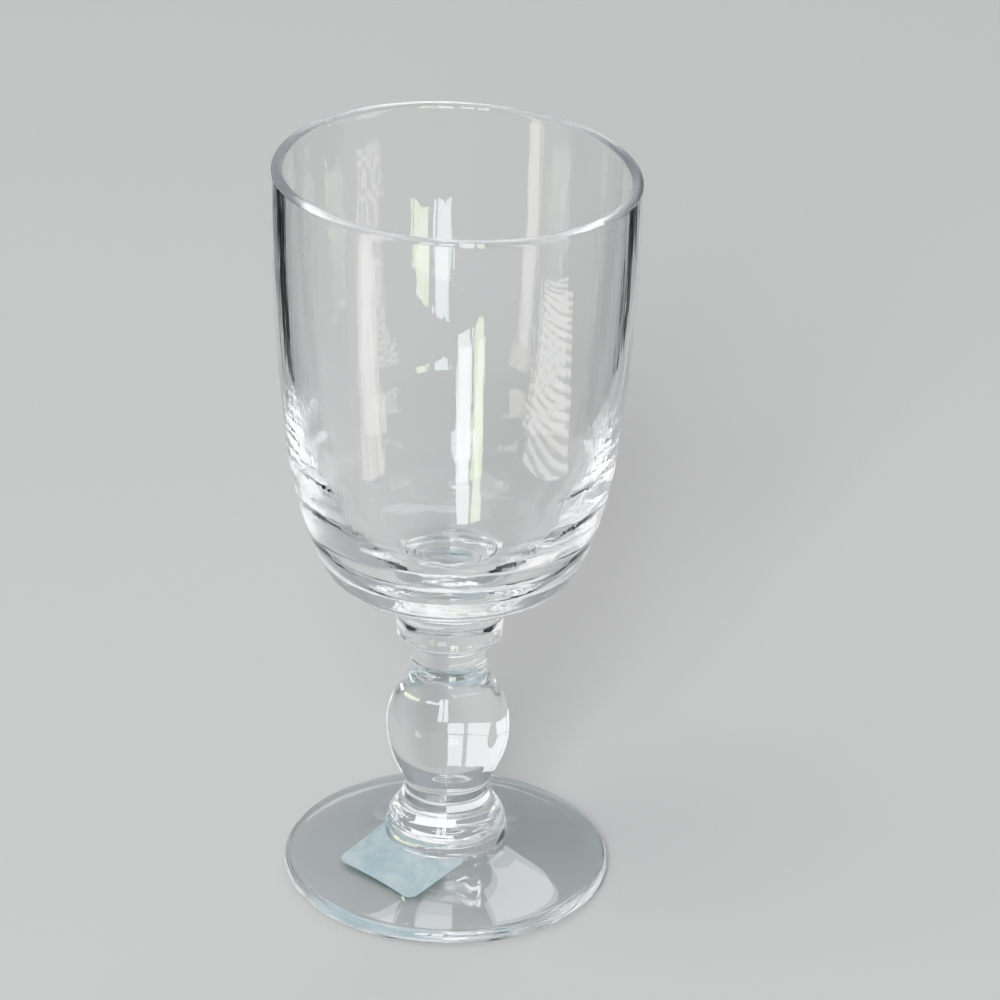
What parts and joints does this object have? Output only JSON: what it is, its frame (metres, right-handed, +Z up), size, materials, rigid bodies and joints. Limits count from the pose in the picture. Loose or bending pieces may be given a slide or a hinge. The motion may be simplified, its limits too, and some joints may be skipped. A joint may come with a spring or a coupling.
{
  "type": "stemmed water goblet",
  "caption": "Stemmed clear glass water goblet with a deep round-bottomed bowl, a stepped collar, a solid ball knop, stacked rings and a wide round foot.",
  "frame": {"origin": "centre of the resting plane under the foot", "axes": "+Z up the goblet's own axis, from the foot to the rim; +X and +Y lie in the resting plane, and the label lies towards -X"},
  "size_m": [0.082, 0.082, 0.1777],
  "materials": {
    "clear_glass": "clear, colourless, fire-polished, with a faint cool tint in thick parts",
    "label_paper": "pale blue-white paper, blank, with faint mottled adhesive"
  },
  "bodies": {
    "root": {"bowl": "clear_glass", "bowl_collar": "clear_glass", "waist": "clear_glass", "ball_knop": "clear_glass", "neck_ring": "clear_glass", "shoulder_ring": "clear_glass", "base_ring": "clear_glass", "foot": "clear_glass", "paper_label": "label_paper"}
  },
  "joints": []
}
